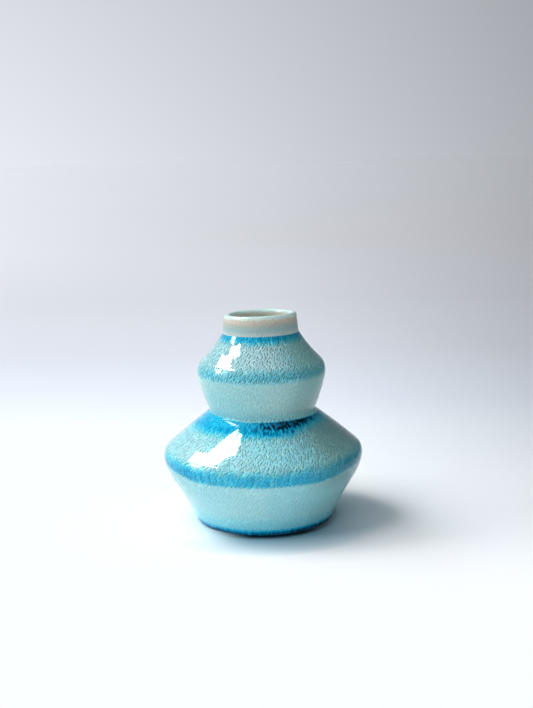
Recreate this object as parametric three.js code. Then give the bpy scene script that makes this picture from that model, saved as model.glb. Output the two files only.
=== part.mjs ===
import * as THREE from 'three';

// Double-gourd bud vase in crackle-glazed stoneware, +Z up, in millimetres, standing on z = 0.
// Each bulb is two thrown sections luted rim to rim, and the bulbs are luted at the waist. The three
// joints are lapped seats filled with slip, and five zones of glaze and a liner are fired over them.

// Facets round every turned surface
const facets = 36;

// Lower bulb, on the outside of its glaze. The edge is where the bowl and shoulder lines would cross.
const footRadius = 30.7;
const lowerBowlHeight = 30.2;
const lowerEdgeRadius = 47.7;
const lowerBowlAngle = 57.9;
const lowerBowlRounding = 13.8;
const lowerShoulderHeight = 19.8;
const lowerShoulderAngle = 41.4;
const lowerShoulderRounding = 5.9;

// Waist crease between the bulbs
const waistRadius = 23.6;

// Upper bulb, drawn like the lower one
const upperBowlHeight = 20.2;
const upperEdgeRadius = 29.65;
const upperBowlAngle = 77.3;
const upperBowlRounding = 5.5;
const upperShoulderHeight = 14.9;
const upperShoulderAngle = 44;
const upperShoulderRounding = 4.5;

// Neck collar and lip
const neckRadius = 17;
const lipRadius = 16.2;
const collarHeight = 8.5;

// Clay walls, floor and turned foot
const bulbWall = 3;
const collarWall = 2.1;
const floorThickness = 4;
const floorCornerRadius = 5;
const footRecess = 2.5;
const footRingWidth = 4.5;
const footRecessSlope = 1.2;

// Glaze coats, and how much deeper a coat is where it has run and pooled
const glazeCoat = 0.35;
const linerCoat = 0.3;
const poolDepth = 0.5;
const poolSpread = 4;
const bareFootHeight = 0.8;
const lipGlazeDrop = 4;

// How far below each edge the shoulder section, and the glaze on it, meets the bowl
const lowerSeamDrop = 4.6;
const upperSeamDrop = 3.1;

// Lapped seats between the clay sections, and the slip that fills them
const slipThickness = 0.35;
const lapHeight = 1.8;

// Outline steps on each bowl or shoulder, and round each edge. The inside needs fewer.
const outerSteps = { run: 3, edge: 4 };
const innerSteps = { run: 2, edge: 2 };
const floorCornerSteps = 2;
const lipSteps = 6;

// Heights above the surface that the vase stands on
const lowerEdgeHeight = lowerBowlHeight;
const waistHeight = lowerEdgeHeight + lowerShoulderHeight;
const upperEdgeHeight = waistHeight + upperBowlHeight;
const neckHeight = upperEdgeHeight + upperShoulderHeight;
const vaseHeight = neckHeight + collarHeight;

const clayMaterial = { color: 0xd8c9ae, roughness: 0.85, metalness: 0 };
const slipMaterial = { color: 0xcbb994, roughness: 0.9, metalness: 0 };
const shoulderGlaze = { color: 0x5fb9cf, roughness: 0.12, metalness: 0 };
const bowlGlaze = { color: 0x9ccdd2, roughness: 0.14, metalness: 0 };
const collarGlaze = { color: 0xc3bba6, roughness: 0.2, metalness: 0 };
const linerGlaze = { color: 0xb7c4ac, roughness: 0.2, metalness: 0 };

function place(radius, height) {
  return new THREE.Vector2(radius, height);
}

function heading(degrees) {
  const angle = THREE.MathUtils.degToRad(degrees);
  return place(Math.cos(angle), Math.sin(angle));
}

// Points of one bulb's outside: a bowl, a rounded edge and a shoulder. The bowl and the shoulder
// are gentle curves whose tangents cross at the edge, so they run smoothly into the rounding.
function bulbOutline(bulb, steps) {
  const bowlLine = heading(bulb.bowlAngle);
  const shoulderLine = heading(180 - bulb.shoulderAngle);
  const bowlTop = bulb.edge.clone().addScaledVector(bowlLine, -bulb.bowlRounding);
  const shoulderFoot = bulb.edge.clone().addScaledVector(shoulderLine, bulb.shoulderRounding);
  const bowlReach = bowlTop.distanceTo(bulb.base) / 2;
  const shoulderReach = shoulderFoot.distanceTo(bulb.top) / 2;
  const bowlHandle = bowlTop.clone().addScaledVector(bowlLine, -bowlReach);
  const shoulderHandle = shoulderFoot.clone().addScaledVector(shoulderLine, shoulderReach);
  const bowl = new THREE.QuadraticBezierCurve(bulb.base, bowlHandle, bowlTop);
  const edge = new THREE.QuadraticBezierCurve(bowlTop, bulb.edge, shoulderFoot);
  const shoulder = new THREE.QuadraticBezierCurve(shoulderFoot, shoulderHandle, bulb.top);
  return [
    ...bowl.getPoints(steps.run),
    ...edge.getPoints(steps.edge).slice(1),
    ...shoulder.getPoints(steps.run).slice(1),
  ];
}

const lowerBulb = {
  base: place(footRadius, 0),
  edge: place(lowerEdgeRadius, lowerEdgeHeight),
  bowlAngle: lowerBowlAngle,
  bowlRounding: lowerBowlRounding,
  shoulderAngle: lowerShoulderAngle,
  shoulderRounding: lowerShoulderRounding,
  top: place(waistRadius, waistHeight),
};

const upperBulb = {
  base: place(waistRadius, waistHeight),
  edge: place(upperEdgeRadius, upperEdgeHeight),
  bowlAngle: upperBowlAngle,
  bowlRounding: upperBowlRounding,
  shoulderAngle: upperShoulderAngle,
  shoulderRounding: upperShoulderRounding,
  top: place(neckRadius, neckHeight),
};

// The lip is a half round over the collar's wall and both its coats
const lipClayRadius = collarWall / 2;
const lipCentre = place(
  lipRadius - glazeCoat - lipClayRadius,
  vaseHeight - (glazeCoat + linerCoat) / 2 - lipClayRadius,
);

// The vase's outline on the outside of its glaze, from the foot to the springing of the lip
function vaseOutline(steps) {
  return [
    ...bulbOutline(lowerBulb, steps),
    ...bulbOutline(upperBulb, steps).slice(1),
    place(lipRadius, lipCentre.y),
  ];
}

// How much the glaze has gathered at a height: at the foot, above each edge, and in the two creases
const poolHeights = [
  bareFootHeight,
  lowerEdgeHeight,
  waistHeight,
  upperEdgeHeight,
  neckHeight,
];

function coatDepth(height) {
  const nearest = Math.min(...poolHeights.map((pool) => Math.abs(height - pool)));
  const gathered = Math.max(0, 1 - nearest / poolSpread);
  return glazeCoat + poolDepth * gathered;
}

function wallDepth(height) {
  return height < neckHeight ? bulbWall : collarWall;
}

// Moves an outline inwards, each point along its mitre, by a depth that may change with height
function inset(outline, depthAt) {
  return outline.map((point, index) => {
    const before = outline[Math.max(index - 1, 0)];
    const after = outline[Math.min(index + 1, outline.length - 1)];
    const into = index > 0 ? point.clone().sub(before) : after.clone().sub(point);
    const outOf = index < outline.length - 1 ? after.clone().sub(point) : into.clone();
    const normalInto = place(into.y, -into.x).normalize();
    const normalOutOf = place(outOf.y, -outOf.x).normalize();
    const mitre = normalInto.clone().add(normalOutOf).divideScalar(1 + normalInto.dot(normalOutOf));
    return point.clone().addScaledVector(mitre, -depthAt(point.y));
  });
}

// How far the liner lies under the outside of the glaze
function linerDepth(height) {
  return coatDepth(height) + wallDepth(height);
}

const outside = vaseOutline(outerSteps);
const clayOutside = inset(outside, coatDepth);
const clayInside = inset(vaseOutline(innerSteps), linerDepth);
const linerInside = inset(vaseOutline(innerSteps), (height) => linerDepth(height) + linerCoat);

// The point of an outline at a height, on its end runs produced where the height is past them
function pointAt(outline, height) {
  const above = outline.findIndex((point) => point.y > height);
  const last = outline.length - 1;
  const upper = above < 0 ? last : Math.max(above, 1);
  const from = outline[upper - 1];
  const to = outline[upper];
  const share = (height - from.y) / (to.y - from.y);
  return place(from.x + share * (to.x - from.x), height);
}

// The stretch of an outline between two heights, going up
function between(outline, low, high) {
  const inner = outline.filter((point) => point.y > low && point.y < high);
  return [pointAt(outline, low), ...inner, pointAt(outline, high)];
}

function reversed(points) {
  return [...points].reverse();
}

// Floor of the vase from its axis to the wall, with a rounded corner
function floorLine(wall, height) {
  const turnFrom = place(pointAt(wall, height).x - floorCornerRadius, height);
  const corner = pointAt(wall, height);
  const turnTo = pointAt(wall, height + floorCornerRadius);
  const turn = new THREE.QuadraticBezierCurve(turnFrom, corner, turnTo);
  return [place(0, height), ...turn.getPoints(floorCornerSteps)];
}

// Inside of the vase from the axis of its floor up to a height
function insideLine(wall, floorHeight, top) {
  const cornerTop = floorHeight + floorCornerRadius;
  return [...floorLine(wall, floorHeight), ...between(wall, cornerTop, top).slice(1)];
}

// A lapped seat in the clay wall, from outside to inside: a ledge, then a tongue that stands up on
// the inner half. The section above has the same step, one slip thickness up and out.
function lapSeat(height) {
  const outerWall = pointAt(clayOutside, height).x;
  const innerWall = pointAt(clayInside, height + lapHeight).x;
  const tongueRadius = (outerWall + innerWall) / 2;
  return { height, tongueRadius };
}

function seatLine(seat, lift) {
  const ledge = seat.height + lift;
  const tongueTop = ledge + lapHeight;
  const tongueSide = seat.tongueRadius + lift;
  return [
    pointAt(clayOutside, ledge),
    place(tongueSide, ledge),
    place(tongueSide, tongueTop),
    pointAt(clayInside, tongueTop),
  ];
}

const lowerSeat = lapSeat(lowerEdgeHeight - lowerSeamDrop);
const waistSeat = lapSeat(waistHeight);
const upperSeat = lapSeat(upperEdgeHeight - upperSeamDrop);

// The lip's half round, between the outside and the inside of the collar
function lipLine(coatOutside, coatInside) {
  const points = [];
  for (let step = 1; step < lipSteps; step += 1) {
    const share = step / lipSteps;
    const coat = THREE.MathUtils.lerp(coatOutside, coatInside, share);
    const spoke = heading(180 * share).multiplyScalar(lipClayRadius + coat);
    points.push(lipCentre.clone().add(spoke));
  }
  return points;
}

// A turned solid from a closed outline that runs out along the bottom, up the outside and down the
// inside. An outline off the axis is closed on its first point.
function turned(name, outline, material) {
  const onAxis = outline[0].x === 0;
  const profile = onAxis ? outline : [...outline, outline[0]];
  const geometry = new THREE.LatheGeometry(profile, facets);
  geometry.rotateX(Math.PI / 2);
  const mesh = new THREE.Mesh(geometry, new THREE.MeshStandardMaterial(material));
  mesh.name = name;
  return mesh;
}

const floorHeight = footRecess + floorThickness;

// Underside of the foot, from the axis out over the turned recess and the ring that it stands on
function footLine() {
  const ringOuter = pointAt(clayOutside, 0);
  const ringInner = ringOuter.x - footRingWidth;
  return [
    place(0, footRecess),
    place(ringInner - footRecessSlope, footRecess),
    place(ringInner, 0),
  ];
}

function makeLowerBowl() {
  const outline = [
    ...footLine(),
    ...between(clayOutside, 0, lowerSeat.height),
    ...seatLine(lowerSeat, 0).slice(1, -1),
    ...reversed(insideLine(clayInside, floorHeight, lowerSeat.height + lapHeight)),
  ];
  return turned('lower_bowl', outline, clayMaterial);
}

// A clay section that stands on one seat and carries the next
function makeRingSection(name, seatBelow, seatAbove) {
  const innerFrom = seatBelow.height + lapHeight + slipThickness;
  const innerTo = seatAbove.height + lapHeight;
  const outline = [
    ...reversed(seatLine(seatBelow, slipThickness)),
    ...between(clayOutside, seatBelow.height + slipThickness, seatAbove.height).slice(1),
    ...seatLine(seatAbove, 0).slice(1),
    ...reversed(between(clayInside, innerFrom, innerTo)).slice(1, -1),
  ];
  return turned(name, outline, clayMaterial);
}

// The top section: the upper shoulder, thrown in one with the collar and its lip
function makeTopSection() {
  const innerFrom = upperSeat.height + lapHeight + slipThickness;
  const outline = [
    ...reversed(seatLine(upperSeat, slipThickness)),
    ...between(clayOutside, upperSeat.height + slipThickness, lipCentre.y).slice(1),
    ...lipLine(0, 0),
    ...reversed(between(clayInside, innerFrom, lipCentre.y)).slice(0, -1),
  ];
  return turned('upper_shoulder_and_collar', outline, clayMaterial);
}

// The slip between two sections, wrapped over the tongue of the lower one
function makeSlipSeam(name, seat) {
  const tongueTop = seat.height + lapHeight;
  const outline = [
    ...reversed(seatLine(seat, 0)),
    ...between(clayOutside, seat.height, seat.height + slipThickness).slice(1, -1),
    ...seatLine(seat, slipThickness),
    ...reversed(between(clayInside, tongueTop, tongueTop + slipThickness)).slice(1, -1),
  ];
  return turned(name, outline, slipMaterial);
}

// A zone of the outer glaze between two heights
function makeGlazeZone(name, low, high, material) {
  const outline = [
    ...between(outside, low, high),
    ...reversed(between(clayOutside, low, high)),
  ];
  return turned(name, outline, material);
}

// The collar's glaze runs up the outside, over the lip and a little way down inside
function makeCollarGlaze() {
  const innerEnd = vaseHeight - lipGlazeDrop;
  const outline = [
    ...between(outside, neckHeight, lipCentre.y),
    ...lipLine(glazeCoat, linerCoat),
    ...reversed(between(linerInside, innerEnd, lipCentre.y)),
    ...between(clayInside, innerEnd, lipCentre.y),
    ...reversed(lipLine(0, 0)),
    ...reversed(between(clayOutside, neckHeight, lipCentre.y)),
  ];
  return turned('collar_glaze', outline, collarGlaze);
}

function makeLiner() {
  const top = vaseHeight - lipGlazeDrop;
  const outline = [
    ...insideLine(clayInside, floorHeight, top),
    ...reversed(insideLine(linerInside, floorHeight + linerCoat, top)),
  ];
  return turned('liner_glaze', outline, linerGlaze);
}

const clay = new THREE.Group();
clay.add(makeLowerBowl());
clay.add(makeRingSection('lower_shoulder', lowerSeat, waistSeat));
clay.add(makeRingSection('upper_bowl', waistSeat, upperSeat));
clay.add(makeTopSection());

const slip = new THREE.Group();
slip.add(makeSlipSeam('lower_edge_slip', lowerSeat));
slip.add(makeSlipSeam('waist_slip', waistSeat));
slip.add(makeSlipSeam('upper_edge_slip', upperSeat));

const glaze = new THREE.Group();
glaze.add(makeGlazeZone('lower_bowl_glaze', bareFootHeight, lowerSeat.height, bowlGlaze));
glaze.add(makeGlazeZone('lower_shoulder_glaze', lowerSeat.height, waistSeat.height, shoulderGlaze));
glaze.add(makeGlazeZone('upper_bowl_glaze', waistSeat.height, upperSeat.height, bowlGlaze));
glaze.add(makeGlazeZone('upper_shoulder_glaze', upperSeat.height, neckHeight, shoulderGlaze));
glaze.add(makeCollarGlaze());
glaze.add(makeLiner());

const budVase = new THREE.Group();
budVase.add(clay, slip, glaze);

export default budVase;
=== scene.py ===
import math
from collections import namedtuple

import bmesh
import bpy
from mathutils import Matrix, Vector


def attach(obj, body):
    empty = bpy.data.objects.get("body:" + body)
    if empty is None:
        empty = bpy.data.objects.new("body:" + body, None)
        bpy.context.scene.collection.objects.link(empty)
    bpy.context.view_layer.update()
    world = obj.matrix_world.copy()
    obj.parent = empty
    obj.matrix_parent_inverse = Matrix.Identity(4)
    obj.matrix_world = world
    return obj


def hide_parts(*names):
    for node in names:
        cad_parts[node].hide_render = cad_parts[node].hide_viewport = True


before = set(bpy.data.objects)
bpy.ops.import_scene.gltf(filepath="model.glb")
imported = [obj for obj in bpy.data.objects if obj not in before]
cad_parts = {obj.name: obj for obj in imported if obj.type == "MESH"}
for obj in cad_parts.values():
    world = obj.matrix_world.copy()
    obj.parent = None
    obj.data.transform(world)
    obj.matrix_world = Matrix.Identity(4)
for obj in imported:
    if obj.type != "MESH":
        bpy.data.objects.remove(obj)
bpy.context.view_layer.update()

# Double-gourd bud vase with a crackle glaze. Every coat of glaze, the liner and the bottom section,
# whose foot is bare, are turned again here on many more facets. The clay and slip that stay hidden
# are finer copies of the frame's own. Lengths are in millimetres until a mesh or an object is made.

MM = 0.001

# Driving sizes, as in the part's source
FOOT_RADIUS = 30.7
LOWER_EDGE = (47.7, 30.2)
LOWER_ANGLES = (57.9, 41.4)
LOWER_ROUNDINGS = (13.8, 5.9)
WAIST = (23.6, 50.0)
UPPER_EDGE = (29.65, 70.2)
UPPER_ANGLES = (77.3, 44.0)
UPPER_ROUNDINGS = (5.5, 4.5)
NECK = (17.0, 85.1)
LIP_RADIUS = 16.2
VASE_HEIGHT = 93.6
BULB_WALL = 3.0
COLLAR_WALL = 2.1
FLOOR_THICKNESS = 4.0
FLOOR_CORNER = 5.0
FOOT_RECESS = 2.5
FOOT_RING = 4.5
FOOT_SLOPE = 1.2
GLAZE_COAT = 0.35
LINER_COAT = 0.3
POOL_DEPTH = 0.5
POOL_SPREAD = 4.0
BARE_FOOT = 0.8
LIP_GLAZE_DROP = 4.0
FOOT_EDGE_ROUNDING = 0.25
LOWER_SEAM = LOWER_EDGE[1] - 4.6
UPPER_SEAM = UPPER_EDGE[1] - 3.1
LAP_HEIGHT = 1.8

LIP_CLAY_RADIUS = COLLAR_WALL / 2
LIP_CENTRE = (
    LIP_RADIUS - GLAZE_COAT - LIP_CLAY_RADIUS,
    VASE_HEIGHT - (GLAZE_COAT + LINER_COAT) / 2 - LIP_CLAY_RADIUS,
)

# Facets round each turned piece, and the spacing of its rings where it shows and where it is hidden
FACETS = 320
SHOWN_STEP = 0.45
LINER_STEP = 0.72
UNDERSIDE_STEP = 0.5
HIDDEN_STEP = 1.6
CURVE_STEPS = 24
FLOOR_CURVE_STEPS = 8
LIP_STEPS = 16
HIDDEN_LIP_STEPS = 6

# Cuts of each edge in a copied piece, and the largest radius that counts as on the axis
HIDDEN_CUTS = 2
ON_AXIS = 1e-6

# A line has a corner, or a mesh a crisp edge, where the cosine of its turn is less than this
CORNER_TURN = 0.97
CRISP_TURN = 0.85


def heading(degrees):
    angle = math.radians(degrees)
    return Vector((math.cos(angle), math.sin(angle)))


def bezier(start, handle, end, steps=CURVE_STEPS):
    points = []
    for step in range(steps + 1):
        t = step / steps
        points.append(start * (1 - t) ** 2 + handle * (2 * t * (1 - t)) + end * t * t)
    return points


def bulb_outline(base, edge, angles, roundings, top):
    """Half of a bulb's section: a bowl up to its edge, a rounded edge, and a shoulder."""
    base, edge, top = Vector(base), Vector(edge), Vector(top)
    bowl_line = heading(angles[0])
    shoulder_line = heading(180 - angles[1])
    bowl_top = edge - bowl_line * roundings[0]
    shoulder_foot = edge + shoulder_line * roundings[1]
    bowl_handle = bowl_top - bowl_line * ((bowl_top - base).length / 2)
    shoulder_handle = shoulder_foot + shoulder_line * ((shoulder_foot - top).length / 2)
    return (
        bezier(base, bowl_handle, bowl_top)
        + bezier(bowl_top, edge, shoulder_foot)[1:]
        + bezier(shoulder_foot, shoulder_handle, top)[1:]
    )


def vase_outline():
    lower = bulb_outline((FOOT_RADIUS, 0.0), LOWER_EDGE, LOWER_ANGLES, LOWER_ROUNDINGS, WAIST)
    upper = bulb_outline(WAIST, UPPER_EDGE, UPPER_ANGLES, UPPER_ROUNDINGS, NECK)
    return lower + upper[1:] + [Vector((LIP_RADIUS, LIP_CENTRE[1]))]


def coat_depth(height):
    """How thick the outer glaze is. It lies deeper where it pools."""
    pools = (BARE_FOOT, LOWER_EDGE[1], WAIST[1], UPPER_EDGE[1], NECK[1])
    nearest = min(abs(height - pool) for pool in pools)
    return GLAZE_COAT + POOL_DEPTH * max(0.0, 1 - nearest / POOL_SPREAD)


def liner_depth(height):
    """How far the inside of the clay lies from the outline."""
    return coat_depth(height) + (BULB_WALL if height < NECK[1] else COLLAR_WALL)


def inset(outline, depth_at):
    """The outline moved inwards along its mitres."""
    moved = []
    for index, point in enumerate(outline):
        before = outline[max(index - 1, 0)]
        after = outline[min(index + 1, len(outline) - 1)]
        into = (point - before) if index > 0 else (after - point)
        out_of = (after - point) if index < len(outline) - 1 else into
        normal_into = Vector((into.y, -into.x)).normalized()
        normal_out = Vector((out_of.y, -out_of.x)).normalized()
        mitre = (normal_into + normal_out) / (1 + normal_into.dot(normal_out))
        moved.append(point - mitre * depth_at(point.y))
    return moved


def point_at(outline, height):
    for lower, upper in zip(outline, outline[1:]):
        if lower.y <= height <= upper.y:
            return lower.lerp(upper, (height - lower.y) / (upper.y - lower.y))
    end = outline[0] if height < outline[0].y else outline[-1]
    return Vector((end.x, height))


def between(outline, low, high):
    inner = [point for point in outline if low < point.y < high]
    return [point_at(outline, low)] + inner + [point_at(outline, high)]


def spaced(points, step):
    """The same line with its points at even distances, corners of the line included."""
    result = [points[0]]
    run = [points[0]]
    for index in range(1, len(points)):
        run.append(points[index])
        if index < len(points) - 1 and not is_corner(points, index):
            continue
        result += even_run(run, step)[1:]
        run = [points[index]]
    return result


def is_corner(points, index):
    into = (points[index] - points[index - 1]).normalized()
    out_of = (points[index + 1] - points[index]).normalized()
    return into.dot(out_of) < CORNER_TURN


def even_run(run, step):
    """A line without corners, with its points at even distances."""
    lengths = [(b - a).length for a, b in zip(run, run[1:])]
    total = sum(lengths)
    count = max(1, round(total / step))
    result = [run[0]]
    index, passed = 0, 0.0
    for number in range(1, count):
        target = total * number / count
        while index < len(lengths) - 1 and passed + lengths[index] < target:
            passed += lengths[index]
            index += 1
        result.append(run[index].lerp(run[index + 1], (target - passed) / lengths[index]))
    return result + [run[-1]]


OUTSIDE = vase_outline()
CLAY_OUTSIDE = inset(OUTSIDE, coat_depth)
CLAY_INSIDE = inset(OUTSIDE, liner_depth)
LINER_INSIDE = inset(OUTSIDE, lambda height: liner_depth(height) + LINER_COAT)


def lip_line(coat_outside, coat_inside, steps=LIP_STEPS):
    """The half round of the lip, with its coat going from one thickness to the other."""
    points = []
    for step in range(1, steps):
        share = step / steps
        coat = coat_outside + (coat_inside - coat_outside) * share
        points.append(Vector(LIP_CENTRE) + heading(180 * share) * (LIP_CLAY_RADIUS + coat))
    return points


def inside_line(wall, floor_height, top):
    """A wall's inside with the floor and the curve between them, from the axis upwards."""
    corner = point_at(wall, floor_height)
    turn_from = Vector((corner.x - FLOOR_CORNER, floor_height))
    turn_to = point_at(wall, floor_height + FLOOR_CORNER)
    floor = [Vector((0.0, floor_height))] + bezier(turn_from, corner, turn_to, FLOOR_CURVE_STEPS)
    return floor + between(wall, floor_height + FLOOR_CORNER, top)[1:]


# How the hand-made vase departs from true: a slight wobble of its roundness, a mouth that tips up on
# its right and down at its back, and a glaze line at the foot that waves as the glaze ran.
WOBBLES = ((2, 0.10, 0.6), (3, 0.06, 2.1), (5, 0.03, 4.0))
MOUTH_RISE_RIGHT = 0.021
MOUTH_DROP_BACK = 0.026
MOUTH_TIP_FROM = 78.0
FOOT_WAVES = ((5, 0.16, 0.3), (9, 0.13, 1.9), (17, 0.08, 4.4))
FOOT_WAVE_TOP = 3.5
WOBBLE_RISE = 12.0
WOBBLE_RADIUS = 20.0


def smooth_share(value, start, end):
    share = min(max((value - start) / (end - start), 0.0), 1.0)
    return share * share * (3 - 2 * share)


def waves(angle, terms):
    return sum(size * math.sin(count * angle + phase) for count, size, phase in terms)


def hand_made(radius, height, angle, wavy_foot=False):
    """Where a point of the true shape lies on the hand-made one."""
    wobble = waves(angle, WOBBLES) * smooth_share(height, 0.0, WOBBLE_RISE)
    wobble *= min(radius / WOBBLE_RADIUS, 1)
    x = (radius + wobble) * math.cos(angle)
    y = (radius + wobble) * math.sin(angle)
    tip = smooth_share(height, MOUTH_TIP_FROM, VASE_HEIGHT)
    z = height + tip * (MOUTH_RISE_RIGHT * x - MOUTH_DROP_BACK * y)
    if wavy_foot:
        run = max(0.0, 1 - (height - BARE_FOOT) / FOOT_WAVE_TOP)
        z += run * waves(angle, FOOT_WAVES)
    return Vector((x, y, z))


# The bake map: faces on show fill strips, one above another, and hidden ones share the rows at the top
SHOWN_SHARE = 0.94
STRIP_GAP = 0.02
STRIP_LEFT = 0.01
STRIP_WIDTH = 0.97
HIDDEN_ROWS = (0.96, 0.995)


def corner_places(left, right, low, high, corners, starts_on_axis):
    """Places on the map for a face's corners. A face that ends on the axis is a triangle."""
    middle = (left + right) / 2
    if starts_on_axis:
        return [(middle, low), (right, high), (left, high)]
    if corners == 3:
        return [(left, low), (right, low), (middle, high)]
    return [(left, low), (right, low), (right, high), (left, high)]


def bake_map(mesh, outline, shown):
    """UVs for baking. The faces were made ring by ring, so a face's number tells its place."""
    first, last = shown
    passed = [0.0]
    for point, following in zip(outline[first:last], outline[first + 1:last + 1]):
        passed.append(passed[-1] + (following - point).length)
    widest = max(point.x for point in outline[first:last + 1])
    strips = max(1, round(math.sqrt(2 * math.pi * widest / passed[-1])))
    strip_height = SHOWN_SHARE / strips
    scale = (strip_height - STRIP_GAP) / passed[-1]
    layer = mesh.uv_layers.new(name="OFBake")
    for face in mesh.polygons:
        ring, facet = divmod(face.index, FACETS)
        strip = facet * strips // FACETS
        left = STRIP_LEFT + STRIP_WIDTH * (facet * strips / FACETS - strip)
        right = left + STRIP_WIDTH * strips / FACETS
        low, high = HIDDEN_ROWS
        if first <= ring < last:
            low = strip * strip_height + passed[ring - first] * scale
            high = strip * strip_height + passed[ring - first + 1] * scale
        corners = len(face.vertices)
        places = corner_places(left, right, low, high, corners, outline[ring].x < ON_AXIS)
        for loop, place in zip(face.loop_indices, places):
            layer.data[loop].uv = place


def shell_vertices(outline, wavy_foot):
    """A turned shell's vertices, and the numbers of those in each ring. A ring on the axis is one."""
    vertices, rings = [], []
    for point in outline:
        if point.x < ON_AXIS:
            rings.append([len(vertices)] * FACETS)
            vertices.append(hand_made(0.0, point.y, 0.0, wavy_foot) * MM)
            continue
        rings.append(list(range(len(vertices), len(vertices) + FACETS)))
        for facet in range(FACETS):
            angle = 2 * math.pi * facet / FACETS
            vertices.append(hand_made(point.x, point.y, angle, wavy_foot) * MM)
    return vertices, rings


def shell_faces(outline, rings):
    """Faces from each ring to the next. The last ring joins the first unless both are on the axis."""
    pairs = list(zip(rings, rings[1:]))
    if outline[0].x > ON_AXIS or outline[-1].x > ON_AXIS:
        pairs.append((rings[-1], rings[0]))
    faces = []
    for ring, above in pairs:
        for facet in range(FACETS):
            following = (facet + 1) % FACETS
            corners = [ring[facet], ring[following], above[following], above[facet]]
            faces.append(list(dict.fromkeys(corners)))
    return faces


def sharpen(mesh, outline, rings):
    """Marks the rings at the outline's corners as sharp edges."""
    ring_of = {}
    for index, point in enumerate(outline):
        into = (point - outline[index - 1]).normalized()
        out_of = (outline[(index + 1) % len(outline)] - point).normalized()
        if point.x > ON_AXIS and into.dot(out_of) < CRISP_TURN:
            ring_of.update((vertex, index) for vertex in rings[index])
    sharp = mesh.attributes.new("sharp_edge", "BOOLEAN", "EDGE")
    for edge in mesh.edges:
        start, end = edge.vertices
        if start in ring_of and ring_of.get(end) == ring_of[start]:
            sharp.data[edge.index].value = True


def placed(name, mesh, replaced):
    """The mesh as a piece that is shown for a node of the frame."""
    piece = bpy.data.objects.new(name, mesh)
    bpy.context.scene.collection.objects.link(piece)
    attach(piece, "root")
    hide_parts(replaced)
    return piece


def turned(name, outline, shown, replaced, wavy_foot=False):
    """A turned shell from a closed outline, whose points from shown[0] to shown[1] can be seen."""
    vertices, rings = shell_vertices(outline, wavy_foot)
    mesh = bpy.data.meshes.new(name)
    mesh.from_pydata(vertices, [], shell_faces(outline, rings))
    mesh.validate()
    mesh.update()
    mesh.shade_smooth()
    sharpen(mesh, outline, rings)
    bake_map(mesh, outline, shown)
    return placed(name, mesh, replaced)


def glaze_zone(name, low, high, wavy_foot=False):
    """The outer coat between two heights, solid from its outside to the clay."""
    outside = spaced(between(OUTSIDE, low, high), SHOWN_STEP)
    inside = spaced(between(CLAY_OUTSIDE, low, high), HIDDEN_STEP)
    shown = (0, len(outside) - 1)
    return turned(name + "_fired", outside + inside[::-1], shown, name, wavy_foot)


def collar_zone():
    """The collar's coat, which goes over the lip and a little way down inside."""
    end = VASE_HEIGHT - LIP_GLAZE_DROP
    top = LIP_CENTRE[1]
    outside = spaced(between(OUTSIDE, NECK[1], top), SHOWN_STEP)
    shown_inside = spaced(between(LINER_INSIDE, end, top), SHOWN_STEP)
    seen = outside + lip_line(GLAZE_COAT, LINER_COAT) + shown_inside[::-1]
    hidden = (
        between(CLAY_INSIDE, end, top)
        + lip_line(0, 0, HIDDEN_LIP_STEPS)[::-1]
        + between(CLAY_OUTSIDE, NECK[1], top)[::-1]
    )
    return turned("collar_glaze_fired", seen + hidden, (0, len(seen) - 1), "collar_glaze")


def liner_zone():
    """The coat of the whole inside, from the floor to where the collar's coat ends."""
    top = VASE_HEIGHT - LIP_GLAZE_DROP
    floor = FOOT_RECESS + FLOOR_THICKNESS
    hidden = spaced(inside_line(CLAY_INSIDE, floor, top), HIDDEN_STEP)
    shown = spaced(inside_line(LINER_INSIDE, floor + LINER_COAT, top), LINER_STEP)
    outline = hidden + shown[::-1]
    return turned("liner_glaze_fired", outline, (len(hidden), len(outline) - 1), "liner_glaze")


def bore_at(height):
    """The clay's inside radius, or nothing at the lip."""
    if height > LIP_CENTRE[1]:
        return 0.0
    return point_at(CLAY_INSIDE, height).x


def out_of_true(name):
    """A finer copy of a hidden piece, kept behind the liner and shifted as the glaze is."""
    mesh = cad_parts[name].data.copy()
    finer = bmesh.new()
    finer.from_mesh(mesh)
    bmesh.ops.subdivide_edges(finer, edges=finer.edges, cuts=HIDDEN_CUTS, use_grid_fill=True)
    bores = {}
    for vertex in finer.verts:
        x, y, z = vertex.co / MM
        level = round(z, 2)
        if level not in bores:
            bores[level] = bore_at(level)
        radius = max(math.hypot(x, y), bores[level])
        vertex.co = hand_made(radius, z, math.atan2(y, x)) * MM
    finer.to_mesh(mesh)
    finer.free()
    return placed(name + "_thrown", mesh, name)


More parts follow.
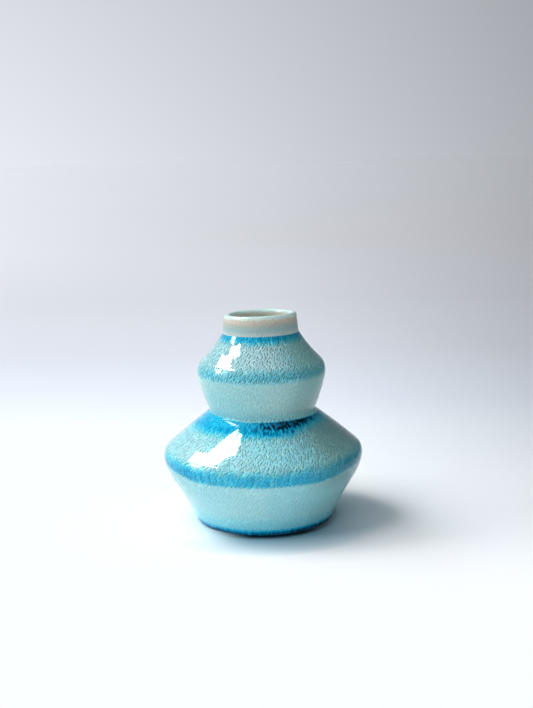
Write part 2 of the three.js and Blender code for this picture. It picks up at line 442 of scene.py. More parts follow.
def lower_bowl():
    """The bottom section, with its recessed foot, its floor and the tongue of the lapped joint."""
    ring_outer = point_at(CLAY_OUTSIDE, 0.0).x
    ring_inner = ring_outer - FOOT_RING
    foot = [
        Vector((0.0, FOOT_RECESS)),
        Vector((ring_inner - FOOT_SLOPE, FOOT_RECESS)),
        Vector((ring_inner - FOOT_EDGE_ROUNDING, 0.12)),
        Vector((ring_inner, 0.0)),
        Vector((ring_outer - FOOT_EDGE_ROUNDING, 0.0)),
        Vector((ring_outer, 0.18)),
    ]
    tongue_top = LOWER_SEAM + LAP_HEIGHT
    outer_wall = point_at(CLAY_OUTSIDE, LOWER_SEAM)
    inner_wall = point_at(CLAY_INSIDE, tongue_top)
    tongue = (outer_wall.x + inner_wall.x) / 2
    seat = [Vector((tongue, LOWER_SEAM)), Vector((tongue, tongue_top))]
    floor = FOOT_RECESS + FLOOR_THICKNESS
    inside = spaced(inside_line(CLAY_INSIDE, floor, tongue_top), HIDDEN_STEP)
    wall = spaced(between(CLAY_OUTSIDE, 0.0, LOWER_SEAM), HIDDEN_STEP)[1:]
    underside = spaced(foot, UNDERSIDE_STEP)
    outline = underside + wall + seat + inside[::-1]
    return turned("lower_bowl_turned", outline, (0, len(underside)), "lower_bowl")


def linear(hexcode):
    """A colour as it is written for a screen, in the units of a shader."""
    colour = []
    for start in (0, 2, 4):
        part = int(hexcode[start:start + 2], 16) / 255
        colour.append(part / 12.92 if part <= 0.04045 else ((part + 0.055) / 1.055) ** 2.4)
    return (*colour, 1.0)


class Graph:
    """Short calls for the nodes of one shader."""

    def __init__(self, tree):
        self.tree = tree

    def node(self, kind, **settings):
        made = self.tree.nodes.new(kind)
        for key, value in settings.items():
            setattr(made, key, value)
        return made

    def feed(self, socket, value):
        if isinstance(value, bpy.types.NodeSocket):
            self.tree.links.new(value, socket)
        else:
            socket.default_value = value

    def math(self, operation, *values):
        made = self.node("ShaderNodeMath", operation=operation)
        for socket, value in zip(made.inputs, values):
            self.feed(socket, value)
        return made.outputs[0]

    def add(self, a, b):
        return self.math("ADD", a, b)

    def sub(self, a, b):
        return self.math("SUBTRACT", a, b)

    def mul(self, a, b):
        return self.math("MULTIPLY", a, b)

    def vector(self, operation, *values):
        made = self.node("ShaderNodeVectorMath", operation=operation)
        for socket, value in zip(made.inputs, values):
            self.feed(socket, value)
        return made.outputs["Value" if operation == "LENGTH" else "Vector"]

    def scale(self, vector, factor):
        return self.vector("MULTIPLY", vector, (factor, factor, factor))

    def split(self, vector):
        made = self.node("ShaderNodeSeparateXYZ")
        self.feed(made.inputs[0], vector)
        return made.outputs

    def join(self, x, y, z):
        made = self.node("ShaderNodeCombineXYZ")
        for socket, value in zip(made.inputs, (x, y, z)):
            self.feed(socket, value)
        return made.outputs[0]

    def span(self, value, start, end, low=0.0, high=1.0, curve="SMOOTHSTEP"):
        made = self.node("ShaderNodeMapRange", interpolation_type=curve)
        for socket, item in zip(made.inputs, (value, start, end, low, high)):
            self.feed(socket, item)
        return made.outputs[0]

    def share(self, value, start, end):
        """How far the value has come from start to end."""
        return self.span(value, start, end, curve="LINEAR")

    def noise(self, vector, scale, detail=2.0, roughness=0.5, colour=False):
        made = self.node("ShaderNodeTexNoise")
        self.feed(made.inputs["Vector"], vector)
        made.inputs["Scale"].default_value = scale
        made.inputs["Detail"].default_value = detail
        made.inputs["Roughness"].default_value = roughness
        return made.outputs["Color" if colour else "Fac"]

    def cell_edge(self, vector, scale, randomness):
        made = self.node("ShaderNodeTexVoronoi", feature="DISTANCE_TO_EDGE")
        self.feed(made.inputs["Vector"], vector)
        made.inputs["Scale"].default_value = scale
        made.inputs["Randomness"].default_value = randomness
        return made.outputs["Distance"]

    def ramp(self, value, stops):
        made = self.node("ShaderNodeValToRGB")
        elements = made.color_ramp.elements
        while len(elements) < len(stops):
            elements.new(0.5)
        for element, (position, colour) in zip(elements, stops):
            element.position = position
            element.color = linear(colour)
        self.feed(made.inputs["Fac"], value)
        return made.outputs["Color"]

    def mix(self, factor, first, second, blend="MIX"):
        made = self.node("ShaderNodeMix", data_type="RGBA", blend_type=blend)
        self.feed(made.inputs[0], factor)
        self.feed(made.inputs[6], linear(first) if isinstance(first, str) else first)
        self.feed(made.inputs[7], linear(second) if isinstance(second, str) else second)
        return made.outputs[2]

    def bump(self, height, distance, strength):
        made = self.node("ShaderNodeBump")
        made.inputs["Strength"].default_value = strength
        made.inputs["Distance"].default_value = distance
        self.feed(made.inputs["Height"], height)
        return made.outputs[0]


def new_material(name):
    material = bpy.data.materials.new(name)
    material.use_nodes = True
    material.node_tree.nodes.clear()
    graph = Graph(material.node_tree)
    shader = graph.node("ShaderNodeBsdfPrincipled")
    output = graph.node("ShaderNodeOutputMaterial")
    graph.feed(output.inputs["Surface"], shader.outputs[0])
    return material, graph, shader


def position_mm(graph):
    return graph.scale(graph.node("ShaderNodeTexCoord").outputs["Object"], 1 / MM)


def axis_distance(graph, x, y):
    return graph.vector("LENGTH", graph.join(x, y, 0.0))


# The crackle: the radius at which its cells have their true width, how irregular they are, and the
# size and the reach of the two warps that bend its lines
CRACKLE_RADIUS = 34.0
CELL_RANDOMNESS = 0.85
LARGE_WARP = (6.0, 3.0)
SMALL_WARP = (2.2, 0.45)

# A net of cracks: size of its cells, width of its lines, share of its height, lean in radians per
# millimetre, and shift round the wall. The fine dark lines are painted shade beside the pale threads, and
# the long pale lines are painted light beside the long dark cracks.
Net = namedtuple("Net", "cell width stretch twist shift")
FINE_PALE = Net(1.6, 0.17, 0.5, 0.014, 0.0)
FINE_PAINTED_SHADE = Net(1.6, 0.22, 0.5, 0.014, 0.38)
LONG_PAINTED_LIGHT = Net(1.9, 0.18, 0.24, 0.035, 0.36)
LONG_DARK = Net(1.9, 0.18, 0.24, 0.035, 0.0)
LONG_PAINTED_LIGHT_STRENGTH = 0.6
LONG_DARK_STRENGTH = 0.75
PALE_LOSS_IN_POOL = 0.6


def wall_coordinates(graph, position, stretch, twist):
    """Coordinates on the wall in which cells come out taller than wide, and lean as they rise."""
    x, y, z = graph.split(position)
    squeeze = graph.math("DIVIDE", axis_distance(graph, x, y), CRACKLE_RADIUS)
    squeeze = graph.math("POWER", squeeze, -0.5)
    turn = graph.node("ShaderNodeVectorRotate", rotation_type="Z_AXIS")
    graph.feed(turn.inputs["Vector"], graph.join(x, y, 0.0))
    graph.feed(turn.inputs["Angle"], graph.mul(z, -twist))
    x, y, _ = graph.split(turn.outputs[0])
    return graph.join(graph.mul(x, squeeze), graph.mul(y, squeeze), graph.mul(z, stretch))


def warped(graph, vector, size, reach):
    shift = graph.noise(vector, 1 / size, detail=1.0, colour=True)
    centred = graph.vector("SUBTRACT", shift, (0.5, 0.5, 0.5))
    return graph.vector("ADD", vector, graph.scale(centred, reach))


def beside(graph, position, distance):
    """The position moved round the wall by a distance."""
    x, y, _ = graph.split(position)
    along = graph.vector("NORMALIZE", graph.join(graph.mul(y, -1.0), x, 0.0))
    return graph.vector("ADD", position, graph.scale(along, distance))


def crack(graph, vector, cell, width):
    """1 on the cracks of a network, 0 in its cells."""
    edge = graph.mul(graph.cell_edge(vector, 1 / cell, CELL_RANDOMNESS), cell)
    return graph.span(edge, 0.0, width, 1.0, 0.0)


def network(graph, position, net):
    """1 on the cracks of a net on the wall, 0 in its cells."""
    moved = beside(graph, position, net.shift) if net.shift else position
    wall = wall_coordinates(graph, moved, net.stretch, net.twist)
    bent = warped(graph, warped(graph, wall, *LARGE_WARP), *SMALL_WARP)
    return crack(graph, bent, net.cell, net.width)


def crackle(graph, position, pooled, weight):
    """The crackle's pale raised threads and long dark cracks, with painted shade beside the threads and
    painted light beside the cracks.
    """
    long_painted_light = graph.mul(network(graph, position, LONG_PAINTED_LIGHT), LONG_PAINTED_LIGHT_STRENGTH)
    long_dark = graph.mul(network(graph, position, LONG_DARK), LONG_DARK_STRENGTH)
    # pale holds the threads and the painted light beside the long cracks; dark holds the painted shade
    # beside the threads and the long cracks themselves
    pale = graph.math("MAXIMUM", network(graph, position, FINE_PALE), long_painted_light)
    dark = graph.math("MAXIMUM", network(graph, position, FINE_PAINTED_SHADE), long_dark)
    dark = graph.mul(dark, graph.sub(1.0, pale))
    pale = graph.mul(pale, graph.sub(1.0, graph.mul(pooled, PALE_LOSS_IN_POOL)))
    return graph.mul(pale, weight), graph.mul(dark, weight)


def scaled_colour(graph, colour, factor):
    """The colour multiplied by another one or by a number, and held within white."""
    if not isinstance(factor, str):
        factor = graph.join(factor, factor, factor)
    product = graph.mix(1.0, colour, factor, "MULTIPLY")
    product.node.clamp_result = True
    return product


# The glassy skin of every glaze
GLAZE_IOR = 1.37
GLAZE_ROUGHNESS = 0.02


def glossy(graph, shader, roughness, coat_normal=None):
    """A fired glaze: its coloured body under a smooth, glassy skin."""
    shader.inputs["Specular IOR Level"].default_value = 0.0
    shader.inputs["Roughness"].default_value = roughness
    shader.inputs["Coat Weight"].default_value = 1.0
    shader.inputs["Coat IOR"].default_value = GLAZE_IOR
    shader.inputs["Coat Roughness"].default_value = GLAZE_ROUGHNESS
    if coat_normal is not None:
        graph.feed(shader.inputs["Coat Normal"], coat_normal)


# Glaze colours from thin to deep
THIN_TO_DEEP = (
    (0.0, "BFF4F8"),
    (0.12, "A3F0FC"),
    (0.25, "86E3F6"),
    (0.42, "5CD7F3"),
    (0.58, "2AC6F0"),
    (0.70, "06A9DA"),
    (0.82, "0380AE"),
    (0.92, "034C6B"),
    (1.0, "011C2B"),
)

# Painted shade turns the glaze a little warmer towards the right, away from the window
PAINTED_SHADE_TINT = "FFFDF0"

# Height of the crackle's relief in metres, in the glaze's body and in its glassy skin
BODY_RELIEF = 0.00012
SKIN_RELIEF = 0.000003

# What the depth of the glaze goes by: the height, how far right a point faces, and three noises
Place = namedtuple("Place", "height side fingers drift slots")


def place_on(graph, position):
    """Where a point lies on the glaze."""
    x, y, height = graph.split(position)
    side = graph.math("DIVIDE", x, axis_distance(graph, x, y))
    streaks = wall_coordinates(graph, position, 0.2, 0.016)
    fingers = graph.noise(streaks, 0.42, detail=3.0, roughness=0.6)
    drift = graph.noise(position, 0.035, detail=1.0)
    slots = graph.noise(wall_coordinates(graph, position, 0.1, 0.0), 0.8, detail=1.0)
    return Place(height, side, fingers, drift, slots)


def painted_far_side_shade(graph, colour, side, tone, warmth):
    """The colour with painted shade: darker and warmer towards the right."""
    colour = scaled_colour(graph, colour, graph.span(side, 0.2, 0.8, 1.0, tone))
    share = graph.mul(graph.span(side, 0.3, 0.75), warmth)
    return graph.mix(share, colour, PAINTED_SHADE_TINT, "MULTIPLY")


def crackled(graph, colour, pale, dark, pooled):
    """The colour with the crackle's lines and their painted light and shade. In a pool the dark ones are
    weaker, the pale ones stronger.
    """
    darker = graph.mul(dark, graph.sub(0.78, graph.mul(pooled, 0.24)))
    colour = scaled_colour(graph, colour, graph.sub(1.0, darker))
    paler = graph.mul(pale, graph.add(0.75, graph.mul(pooled, 0.2)))
    return scaled_colour(graph, colour, graph.add(1.0, paler))


def glaze_material(name, deep_at, crackle_weight, tint, painted_shade_at):
    """Crackle glaze whose colour follows how deep it lies, with painted shade towards the right. deep_at
    gives the depth at a place.
    """
    material, graph, shader = new_material(name)
    position = position_mm(graph)
    place = place_on(graph, position)
    wall = wall_coordinates(graph, position, 0.7, 0.006)
    mottle = graph.noise(wall, 0.35, detail=4.0, roughness=0.65)
    depth = graph.add(deep_at(graph, place), graph.mul(graph.sub(mottle, 0.5), 0.08))
    pooled = graph.span(depth, 0.3, 0.55)
    weight = graph.mul(graph.span(place.side, 0.4, 0.85, 1.0, 0.5), crackle_weight)
    pale, dark = crackle(graph, position, pooled, weight)
    depth = graph.add(depth, graph.mul(graph.sub(dark, pale), graph.mul(pooled, 0.06)))
    depth = graph.add(depth, graph.mul(graph.sub(place.slots, 0.5), graph.mul(pooled, 0.5)))
    colour = scaled_colour(graph, graph.ramp(depth, THIN_TO_DEEP), tint)
    # Painted shade: darker and warmer towards the right, away from the window
    colour = painted_far_side_shade(graph, colour, place.side, painted_shade_at(graph, place.height), crackle_weight)
    relief = graph.sub(pale, dark)
    graph.feed(shader.inputs["Base Color"], crackled(graph, colour, pale, dark, pooled))
    graph.feed(shader.inputs["Normal"], graph.bump(relief, BODY_RELIEF, 1.0))
    glossy(graph, shader, 0.3, graph.bump(relief, SKIN_RELIEF, 0.3))
    return material


# Depths go from 0, where the glaze is thin, to 1. A span takes a height in millimetres, or how far
# right a place faces from -1 to 1, and goes over from one depth to another between two of them.


def largest(graph, *values):
    result = values[0]
    for value in values[1:]:
        result = graph.math("MAXIMUM", result, value)
    return result


def ragged_height(graph, place, reach):
    """The height, moved up and down by the fingers in which a pool ends."""
    return graph.add(place.height, graph.mul(graph.sub(place.fingers, 0.5), reach))


def thin_body(graph, place, least, most):
    """Depth of the glaze away from its pools."""
    return graph.span(place.drift, 0.3, 0.7, least, most)


def lower_band(graph, place):
    """Depth of the pool along the lower edge. Its soft lower end is on the seam and rises at the sides."""
    right = graph.span(place.side, 0.5, 0.97, 0.0, 2.8)
    left = graph.span(place.side, -0.97, -0.6, 2.2, 0.0)
    rise = graph.add(right, left)
    depth = graph.span(graph.math("ABSOLUTE", place.side), 0.5, 0.95, 0.55, 0.66)
    upper = graph.sub(ragged_height(graph, place, 4.5), graph.mul(rise, 0.6))
    lower = graph.sub(ragged_height(graph, place, 1.2), rise)
    above = graph.mul(graph.span(upper, 28.8, 34.8, 1.0, 0.0), depth)
    return graph.mul(above, graph.span(lower, LOWER_SEAM - 1.0, LOWER_SEAM + 1.0))


def upper_band(graph, place):
    """Depth of the pool along the upper edge."""
    above = graph.span(ragged_height(graph, place, 3.0), 69.0, 75.0, 0.35, 0.0)
    return graph.mul(above, graph.span(place.height, UPPER_SEAM - 2.2, UPPER_SEAM + 1.6))


def waist_crease_and_shade(graph, place, narrower):
    """Extra depth right at the waist, most of it on the right: glaze pooled in the crease, and painted
    shade in the crease and on the side away from the window.
    """
    height = graph.sub(place.height, graph.mul(narrower, 0.5))
    depth = graph.span(place.side, -0.3, 0.5, -0.06, 0.24)
    depth = graph.mul(depth, graph.span(place.side, 0.75, 0.97, 1.0, 0.0))
    return graph.mul(graph.span(height, 45.7, 47.6), depth)


def waist_slots(graph, place, ragged):
    """Extra depth in upright dark gaps under the waist, on the right."""
    depth = graph.span(place.side, -0.35, 0.2, 0.0, 0.2)
    depth = graph.mul(depth, graph.span(ragged, 43.2, 46.2))
    slots = graph.mul(graph.span(place.slots, 0.46, 0.56), depth)
    return graph.mul(slots, graph.span(place.side, 0.4, 0.7, 1.0, 0.3))


def waist_pool(graph, place):
    """Depth of the pool round the waist. It is narrower on the right and ends just below the joint."""
    narrower = graph.span(place.side, 0.3, 0.85, 0.0, 2.4)
    ragged = graph.sub(ragged_height(graph, place, 3.0), narrower)
    pool = graph.span(ragged, 41.2, 46.2, 0.0, 0.67)
    extra = graph.add(waist_crease_and_shade(graph, place, narrower), waist_slots(graph, place, ragged))
    end = graph.sub(place.height, graph.span(place.side, -0.8, -0.3, 0.8, 0.0))
    return graph.mul(graph.add(pool, extra), graph.span(end, 48.8, 49.4, 1.0, 0.1))


def lower_shoulder_depth(graph, place):
    body = thin_body(graph, place, 0.06, 0.16)
    return largest(graph, lower_band(graph, place), waist_pool(graph, place), body)


def upper_shoulder_depth(graph, place):
    neck_pool = graph.span(ragged_height(graph, place, 3.0), 80.0, 84.6, 0.0, 0.61)
    body = thin_body(graph, place, 0.04, 0.14)
    return largest(graph, upper_band(graph, place), neck_pool, body)


def lower_bowl_depth(graph, place):
    # The pool at the foot is real; painted shade deepens it towards the right
    foot_depth_and_painted_shade = graph.span(place.side, -0.2, 0.6, 0.84, 0.97)
    foot_pool = graph.mul(graph.span(ragged_height(graph, place, 1.2), 0.8, 5.0, 1.0, 0.0), foot_depth_and_painted_shade)
    low = graph.span(place.height, 3.0, 13.0, 0.2, 0.0)
    body = thin_body(graph, place, 0.0, 0.08)
    return largest(graph, foot_pool, low, body, lower_band(graph, place))


def upper_bowl_depth(graph, place):
    low = graph.span(place.height, WAIST[1], WAIST[1] + 5.0, 0.12, 0.0)
    body = thin_body(graph, place, 0.0, 0.1)
    return largest(graph, low, body, upper_band(graph, place))


def lower_painted_shade(graph, height):
    """How dark painted shade turns the lower bulb towards its right, darkest on its shoulder under the
    upper bulb.
    """
    bowl = graph.span(height, LOWER_SEAM - 8.0, LOWER_SEAM, 0.87, 0.6)
    waist = graph.span(height, 44.5, 48.0, 0.0, 0.3)
    shoulder = graph.span(height, 32.0, 37.0, 0.0, 0.05)
    return graph.add(bowl, graph.sub(waist, shoulder))


def upper_painted_shade(graph, height):
    """How dark painted shade turns the upper bulb towards its right."""
    return graph.span(height, WAIST[1], WAIST[1] + 2.0, 0.87, 0.73)


# The collar's colours from the neck to the lip
COLLAR_COLOURS = (
    (0.0, "D8E4DB"),
    (0.10, "C8D9D3"),
    (0.25, "AECBC9"),
    (0.42, "B5CAC3"),
    (0.60, "D3CAB8"),
    (0.785, "E8DDC8"),
    (0.855, "EAFAF0"),
    (1.0, "D6F8EE"),
)


def collar_material():
    """The collar's warm coat, mint over the lip. Its colours follow the tip of the mouth."""
    material, graph, shader = new_material("collar_glaze")
    position = position_mm(graph)
    x, y, z = graph.split(position)
    slope = graph.sub(graph.mul(x, MOUTH_RISE_RIGHT), graph.mul(y, MOUTH_DROP_BACK))
    height = graph.sub(z, graph.mul(slope, graph.span(z, MOUTH_TIP_FROM, VASE_HEIGHT)))
    wall = wall_coordinates(graph, position, 0.7, 0.0)
    mottle = graph.noise(wall, 0.5, detail=4.0, roughness=0.65)
    ragged = graph.add(height, graph.mul(graph.sub(mottle, 0.5), 1.8))
    colour = graph.ramp(graph.share(ragged, NECK[1], VASE_HEIGHT), COLLAR_COLOURS)
    bent = warped(graph, wall, 1.6, 0.8)
    fine = crack(graph, bent, 1.5, 0.16)
    colour = graph.mix(graph.mul(fine, 0.3), colour, "7F9A98")
    graph.feed(shader.inputs["Base Color"], colour)
    graph.feed(shader.inputs["Normal"], graph.bump(graph.mul(fine, -1.0), 0.00004, 0.7))
    glossy(graph, shader, 0.25)
    return material


def liner_material():
    """The inside's pale coat, with a crackle of its own."""
    material, graph, shader = new_material("liner_glaze")
    position = position_mm(graph)
    mottle = graph.noise(position, 0.2, detail=3.0)
    colour = graph.ramp(mottle, ((0.3, "E6F7EC"), (0.7, "F4FFF8")))
    fine = crack(graph, warped(graph, position, 2.0, 1.0), 2.0, 0.2)
    colour = graph.mix(graph.mul(fine, 0.35), colour, "7C8C7C")
    graph.feed(shader.inputs["Base Color"], colour)
    graph.feed(shader.inputs["Normal"], graph.bump(graph.mul(fine, -1.0), 0.00004, 0.6))
    glossy(graph, shader, 0.25)
    return material


def clay_material(name, light, dark):
    """Fired clay with faint rings from turning, and glaze that ran onto the foot's outer rim."""
    material, graph, shader = new_material(name)
    position = position_mm(graph)
    x, y, z = graph.split(position)
    radius = axis_distance(graph, x, y)
    grain = graph.noise(position, 2.2, detail=5.0, roughness=0.7)
    rings = graph.noise(graph.join(radius, 0.0, z), 1.6)
    tone = graph.add(graph.mul(grain, 0.6), graph.mul(rings, 0.4))
    colour = graph.ramp(tone, ((0.35, dark), (0.62, light)))
    rim = graph.span(radius, FOOT_RADIUS - 2.2, FOOT_RADIUS - 1.2)
    run = graph.ramp(graph.share(z, 0.0, BARE_FOOT), ((0.0, "0A6A90"), (0.5, "1592C4")))
    colour = graph.mix(graph.mul(rim, graph.span(z, 0.0, 0.1)), colour, run)
    graph.feed(shader.inputs["Base Color"], colour)
    relief = graph.add(graph.mul(grain, 0.5), graph.mul(rings, 0.5))
    graph.feed(shader.inputs["Normal"], graph.bump(relief, 0.0002, 0.5))
    shader.inputs["Roughness"].default_value = 0.85
    return material


def dress(piece, material):
    piece.data.materials.clear()
    piece.data.materials.append(material)


# The last argument of each glaze gives the painted shade on its right by height
turquoise_lower = glaze_material("turquoise_glaze_lower", lower_shoulder_depth, 1.0, "FFFFFF", lower_painted_shade)
turquoise_upper = glaze_material("turquoise_glaze_upper", upper_shoulder_depth, 1.0, "FFF1EE", upper_painted_shade)
pale_lower = glaze_material("pale_glaze_lower", lower_bowl_depth, 0.25, "FBFAF8", lower_painted_shade)
pale_upper = glaze_material("pale_glaze_upper", upper_bowl_depth, 0.28, "FAF0E8", upper_painted_shade)
clay = clay_material("bare_clay", "C9AE86", "A88C66")
slip = clay_material("slip_clay", "B99C74", "9A7E59")

dress(glaze_zone("lower_bowl_glaze", BARE_FOOT, LOWER_SEAM, wavy_foot=True), pale_lower)
dress(glaze_zone("lower_shoulder_glaze", LOWER_SEAM, WAIST[1]), turquoise_lower)
dress(glaze_zone("upper_bowl_glaze", WAIST[1], UPPER_SEAM), pale_upper)
dress(glaze_zone("upper_shoulder_glaze", UPPER_SEAM, NECK[1]), turquoise_upper)
dress(collar_zone(), collar_material())
dress(liner_zone(), liner_material())
dress(lower_bowl(), clay)
for node_name in ("lower_shoulder", "upper_bowl", "upper_shoulder_and_collar"):
    dress(out_of_true(node_name), clay)
for node_name in ("lower_edge_slip", "waist_slip", "upper_edge_slip"):
    dress(out_of_true(node_name), slip)


# Camera, from the fit to the photograph's silhouette
CAMERA_AT = Vector((2.43, -486.8, 161.6))
CAMERA_PITCH = 10.11
CAMERA_ROLL = -1.27
FOCAL_PIXELS = 1100.1
PHOTO_HEIGHT = 708
SENSOR = 36.0


def make_camera():
    data = bpy.data.cameras.new("camera")
    data.sensor_width = SENSOR
    data.sensor_fit = "AUTO"
    data.lens = FOCAL_PIXELS * SENSOR / PHOTO_HEIGHT
    data.clip_start = 0.01
    data.clip_end = 100.0
    camera = bpy.data.objects.new("camera", data)
    bpy.context.scene.collection.objects.link(camera)
    tilt = Matrix.Rotation(math.radians(90 - CAMERA_PITCH), 4, "X")
    roll = Matrix.Rotation(math.radians(CAMERA_ROLL), 4, "Z")
    camera.matrix_world = Matrix.Translation(CAMERA_AT * MM) @ tilt @ roll
    bpy.context.scene.camera = camera


# The table runs on to a level horizon. Its painted shade goes from white by the vase to grey far behind,
# and falls off to the right. Where it is seen or mirrored it is lifted to the light that falls on it.
FLOOR_HALF = 40.0
FLOOR_LIFT = 0.15
FLOOR_BOUNCE = 0.8
FALL_REACH = 487.0
ROWS_REACH = (-100.0, 3900.0)
TABLE_PAINTED_SHADES = (
    (0.0, "FFFFFF"),
    (0.20, "F5F8FA"),
    (0.255, "ECF0F4"),
    (0.292, "E0E4EB"),
    (0.365, "D1D3D9"),
    (0.47, "C9CACE"),
    (0.68, "C6C5C8"),
    (1.0, "C5C5C8"),
)

# Past the photograph's sides, and behind the viewer, the table takes the painted shade of its far rows
VIEW_SPREAD = 0.7
VIEWER_BACK = 900.0
DARK_BACK = 2500.0

# The vase's painted shade on the table, and the painted blue light it bounces on the window's side, from
# the foot outwards
SHADE_REACH = 26.0
FOOT_SHADE = (
    (0.0, "10262D"),
    (0.085, "3F565F"),
    (0.155, "8BA9B3"),
    (0.27, "A8C2CD"),
    (0.46, "C0D3DC"),
    (0.75, "DEEAF0"),
    (1.0, "FFFFFF"),
)
PAINTED_BOUNCE_BLUE = ((0.0, "E2FAFF"), (0.09, "EEFDFF"), (0.25, "F9FFFF"), (0.45, "FFFFFF"))


def seen_directly(graph):
    """1 for what the camera or a mirroring surface sees, 0 for what only lights a surface."""
    path = graph.node("ShaderNodeLightPath")
    kinds = ("Is Camera Ray", "Is Glossy Ray", "Is Transmission Ray")
    return largest(graph, *(path.outputs[kind] for kind in kinds))


def side_fall(graph, side, left_weight=1.0, right_weight=1.0):
    """Brightness across the scene: about 1 in the middle, more to the left and less to the right. On the
    table it is painted light and shade.
    """
    left = graph.math("MAXIMUM", graph.math("MINIMUM", side, 0.0), -0.25)
    right = graph.math("MINIMUM", graph.math("MAXIMUM", side, 0.0), 0.42)
    across = graph.add(graph.mul(left, left_weight), graph.mul(right, right_weight))
    drop = graph.add(graph.mul(across, 1.3), graph.mul(graph.mul(across, across), 0.5))
    return graph.sub(1.03, drop)


def beyond_view(graph, side):
    """The room grows darker past the photograph's sides, where only the glaze mirrors it. On the table
    this is painted shade.
    """
    return graph.span(graph.math("ABSOLUTE", side), 0.3, 1.1, 1.0, 0.5)


def contact_shade(graph, x, y):
    """The table's painted shade near the foot: dark in the narrow gap round it, with a little painted blue
    bounce light by the window.
    """
    radius = axis_distance(graph, x, y)
    reach = graph.share(radius, FOOT_RADIUS, FOOT_RADIUS + SHADE_REACH)
    dark = graph.ramp(reach, FOOT_SHADE)
    painted_bounce = graph.ramp(reach, PAINTED_BOUNCE_BLUE)
    weight = graph.span(graph.math("DIVIDE", x, radius), -0.85, -0.15, 0.1, 1.0)
    back = graph.span(graph.math("DIVIDE", y, radius), -0.9, -0.2, 1.0, 0.35)
    return graph.mix(graph.mul(weight, back), painted_bounce, dark)


def table_colour(graph, x, y, seen):
    """The table's painted shade by distance, darker towards the right and behind the viewer."""
    reach = graph.add(graph.math("ABSOLUTE", y), FALL_REACH)
    beside_view = graph.sub(graph.math("ABSOLUTE", x), graph.mul(reach, VIEW_SPREAD))
    behind_view = graph.sub(graph.mul(y, -1.0), VIEWER_BACK)
    far = largest(graph, beside_view, behind_view, y)
    rows = graph.ramp(graph.math("POWER", graph.share(far, *ROWS_REACH), 0.5), TABLE_PAINTED_SHADES)
    left_weight = graph.span(far, 200.0, 1800.0, 0.15, 0.85)
    right_weight = graph.span(far, -300.0, 250.0, 0.33, 1.02)
    side = graph.math("DIVIDE", x, reach)
    fall = graph.mul(side_fall(graph, side, left_weight, right_weight), beyond_view(graph, side))
    fall = graph.mul(fall, graph.span(behind_view, 0.0, DARK_BACK, 1.0, 0.6))
    lift = graph.span(seen, 0.0, 1.0, FLOOR_BOUNCE, 1.0 + FLOOR_LIFT)
    return scaled_colour(graph, rows, graph.mul(fall, lift))


def table_material():
    material, graph, shader = new_material("table")
    x, y, _ = graph.split(position_mm(graph))
    seen = seen_directly(graph)
    colour = table_colour(graph, x, y, seen)
    shade = graph.mix(seen, "FFFFFF", contact_shade(graph, x, y))
    graph.feed(shader.inputs["Base Color"], graph.mix(1.0, colour, shade, "MULTIPLY"))
    shader.inputs["Roughness"].default_value = 0.9
    shader.inputs["Specular IOR Level"].default_value = 0.0
    return material


def make_floor():
    mesh = bpy.data.meshes.new("table")
    half = FLOOR_HALF
    corners = [(-half, -half, 0), (half, -half, 0), (half, half, 0), (-half, half, 0)]
    mesh.from_pydata(corners, [], [(0, 1, 2, 3)])
    table = bpy.data.objects.new("table", mesh)
    bpy.context.scene.collection.objects.link(table)
    table.data.materials.append(table_material())


# The room as the glaze mirrors it, from the horizon up, and the light it gives
ROOM_COLOURS = (
    (0.0, "CED1D8"),
    (0.13, "C3C6CE"),
    (0.35, "96999F"),
    (0.6, "515458"),
    (1.0, "35373A"),
)
ROOM_LIGHT = "EAF4FF"
LOW_SKY = 0.56
HIGH_SKY = 0.45


def make_world():
    world = bpy.data.worlds.new("world")
    bpy.context.scene.world = world
    world.use_nodes = True
    world.node_tree.nodes.clear()
    graph = Graph(world.node_tree)
    x, y, z = graph.split(graph.node("ShaderNodeTexCoord").outputs["Generated"])
    fall = graph.mul(side_fall(graph, x), beyond_view(graph, x))
    fall = graph.mul(fall, graph.span(y, -1.0, 0.2, 0.6, 1.0))
    seen = graph.node("ShaderNodeBackground")
    graph.feed(seen.inputs["Color"], scaled_colour(graph, graph.ramp(z, ROOM_COLOURS), fall))
    lit = graph.node("ShaderNodeBackground")
    lit.inputs["Color"].default_value = linear(ROOM_LIGHT)
    sky = graph.span(z, 0.0, 0.8, LOW_SKY, HIGH_SKY)
    across = graph.span(x, -0.8, 0.8, 1.2, 0.5)
    along = graph.span(y, -1.0, 0.3, 1.38, 0.8)
    graph.feed(lit.inputs["Strength"], graph.mul(graph.mul(sky, across), along))
    choice = graph.node("ShaderNodeMixShader")
    graph.feed(choice.inputs[0], seen_directly(graph))
    graph.feed(choice.inputs[1], lit.outputs[0])
    graph.feed(choice.inputs[2], seen.outputs[0])
    output = graph.node("ShaderNodeOutputWorld")
    graph.feed(output.inputs["Surface"], choice.outputs[0])


def towards(azimuth, elevation):
    """Direction from the vase. Azimuth 0 is the photograph's side, and left is minus."""
    az, el = math.radians(azimuth), math.radians(elevation)
    return Vector((math.sin(az) * math.cos(el), -math.cos(az) * math.cos(el), math.sin(el)))


def add_lamp(name, kind, matrix):
    data = bpy.data.lights.new(name, kind)
    lamp = bpy.data.objects.new(name, data)
    bpy.context.scene.collection.objects.link(lamp)
    lamp.matrix_world = matrix
    return lamp


def add_panel(name, matrix, width, height, radiance):
    """A lit panel that only mirroring surfaces see."""
    lamp = add_lamp(name, "AREA", matrix)
    lamp.data.shape = "RECTANGLE"
    lamp.data.size = width
    lamp.data.size_y = height
    lamp.data.energy = radiance * math.pi * lamp.data.size * lamp.data.size_y
    lamp.visible_diffuse = False


# The window that lights the scene is broad and tall, so its light comes from several ways: each is an
# azimuth, an elevation and a share of the light.
DAYLIGHT = (
    ("daylight_back", -122, 48, 0.3),
    ("daylight_low", -98, 41, 0.18),
    ("daylight_high", -106, 57, 0.28),
    ("daylight_front", -67, 50, 0.24),
)
DAYLIGHT_IRRADIANCE = 2.68
DAYLIGHT_SPREAD = 22


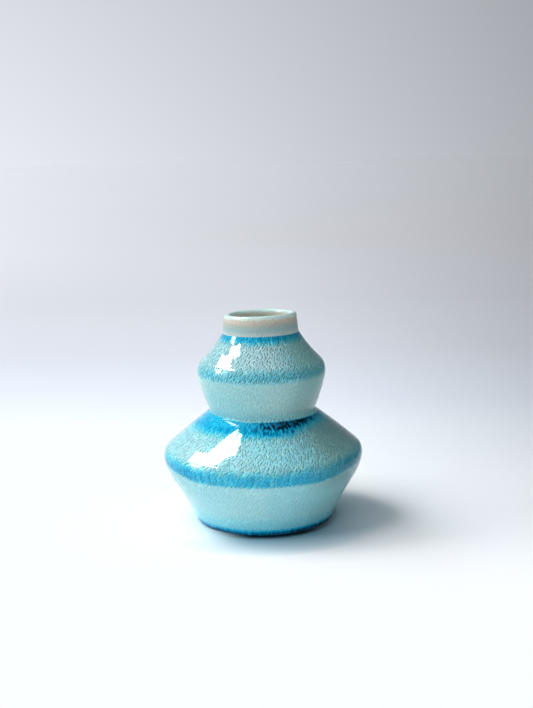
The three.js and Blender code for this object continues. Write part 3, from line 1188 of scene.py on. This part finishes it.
def make_daylight(name, azimuth, elevation, share):
    """A part of the window's light on the table and the vase, soft and even."""
    turn = towards(azimuth, elevation).to_track_quat("Z", "Y").to_matrix().to_4x4()
    lamp = add_lamp(name, "SUN", turn)
    lamp.data.energy = DAYLIGHT_IRRADIANCE * share
    lamp.data.angle = math.radians(DAYLIGHT_SPREAD)
    lamp.visible_glossy = False


# The window as the glaze mirrors it. Its middle is a direction from the vase. Each pane has its place
# across and up, its width and its height, as tangents of an angle, then its turn in degrees and its
# share of the brightness.
WINDOW_WAY = (-95, 50)
WINDOW_DISTANCE = 6.0
WINDOW_RADIANCE = 45.0
PANES = (
    ("pane_left", -0.202, -0.04, 0.415, 0.122, 35, 1.0),
    ("pane_right", 0.078, 0.001, 0.366, 0.173, 28, 1.0),
    ("pane_top", -0.112, 0.12, 0.127, 0.44, -19, 1.0),
    ("pane_transom", -0.01, 0.37, 0.101, 0.077, -29, 1.0),
    ("pane_sill", 0.05, -0.405, 0.24, 0.47, 37, 0.5),
)


def make_window():
    """The panes, on a plane that faces the vase."""
    way = towards(*WINDOW_WAY)
    across = Vector((0, 0, 1)).cross(way).normalized()
    up = way.cross(across)
    facing = Matrix((across, up, way)).transposed().to_4x4()
    for name, right, rise, width, height, turn, share in PANES:
        place = (way + across * right + up * rise) * WINDOW_DISTANCE
        matrix = Matrix.Translation(place) @ facing @ Matrix.Rotation(math.radians(turn), 4, "Z")
        size = (width * WINDOW_DISTANCE, height * WINDOW_DISTANCE)
        add_panel(name, matrix, *size, WINDOW_RADIANCE * share)


# The low part of the window, behind a sheer curtain. Only the rounded edges mirror it. In metres.
CURTAIN_AZIMUTH = -77
CURTAIN_DISTANCE = 3.0
CURTAIN_HEIGHT = 1.45
CURTAIN_SIZE = (1.4, 2.1)
CURTAIN_RADIANCE = 4.0


def make_curtain():
    """The curtain as an upright panel, its middle as high as a window's."""
    way = towards(CURTAIN_AZIMUTH, 0)
    place = way * CURTAIN_DISTANCE + Vector((0, 0, CURTAIN_HEIGHT))
    upright = way.to_track_quat("Z", "Y").to_matrix().to_4x4()
    add_panel("curtain", Matrix.Translation(place) @ upright, *CURTAIN_SIZE, CURTAIN_RADIANCE)


make_camera()
make_floor()
make_world()
for part in DAYLIGHT:
    make_daylight(*part)
make_window()
make_curtain()

bpy.context.scene.view_settings.view_transform = "Standard"
